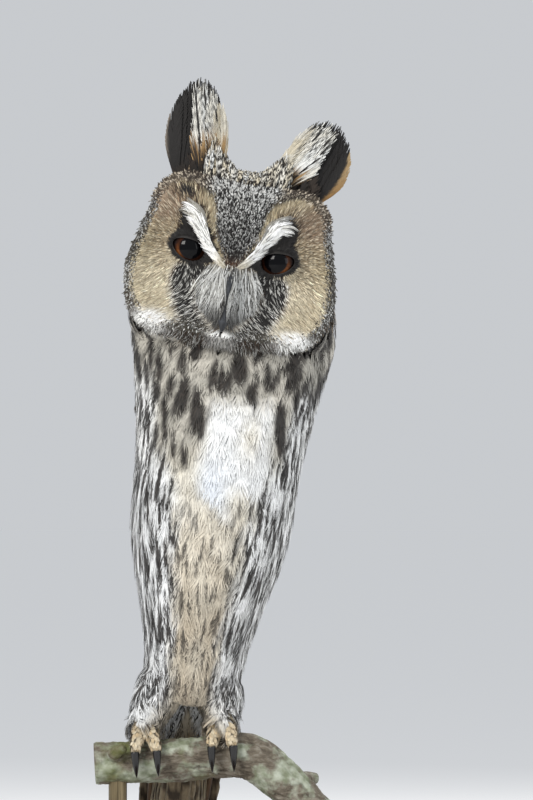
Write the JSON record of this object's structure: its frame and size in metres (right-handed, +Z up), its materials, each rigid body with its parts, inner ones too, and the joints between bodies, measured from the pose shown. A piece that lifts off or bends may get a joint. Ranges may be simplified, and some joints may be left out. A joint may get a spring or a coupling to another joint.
{
  "type": "long-eared owl model",
  "caption": "Life-size still long-eared owl, drawn up slim and upright with raised ear tufts, gripping a short limb held on a flat base by rods.",
  "frame": {"origin": "centre of the underside of the stand's base", "axes": "+Z up, -Y the way the owl faces, +X to the owl's own left"},
  "size_m": [0.15, 0.13, 0.3913],
  "materials": {
    "plumage_face": "soft hair-like feathers, tan disc with black and white speckled rim",
    "plumage_tuft": "black feathers with buff and white edges",
    "plumage_breast": "loose feathers, white and buff with black-brown streaks",
    "plumage_back": "firm overlapping feathers, barred brown and buff",
    "plumage_leg": "short buff feathers",
    "eye": "wet gloss, black pupil in an orange-brown iris",
    "horn": "dark grey horn, satin",
    "claw": "black horn, polished",
    "bark": "rough grey bark with lichen",
    "stand_wood": "satin varnish",
    "stand_metal": "satin black"
  },
  "bodies": {
    "root": {"head": "plumage_face", "ear_tuft_left": "plumage_tuft", "ear_tuft_right": "plumage_tuft", "eye_left": "eye", "eye_right": "eye", "bill_upper": "horn", "bill_lower": "horn", "neck": "plumage_breast", "torso": "plumage_breast", "wing_left": "plumage_back", "wing_right": "plumage_back", "tail": "plumage_back", "leg_left": "plumage_leg", "leg_right": "plumage_leg", "claw_left_inner_front": "claw", "claw_left_outer_front": "claw", "claw_left_inner_back": "claw", "claw_left_outer_back": "claw", "claw_right_inner_front": "claw", "claw_right_outer_front": "claw", "claw_right_inner_back": "claw", "claw_right_outer_back": "claw", "perch": "bark", "stand_base": "stand_wood", "stand_rod_left": "stand_metal", "stand_rod_right": "stand_metal"}
  },
  "joints": []
}
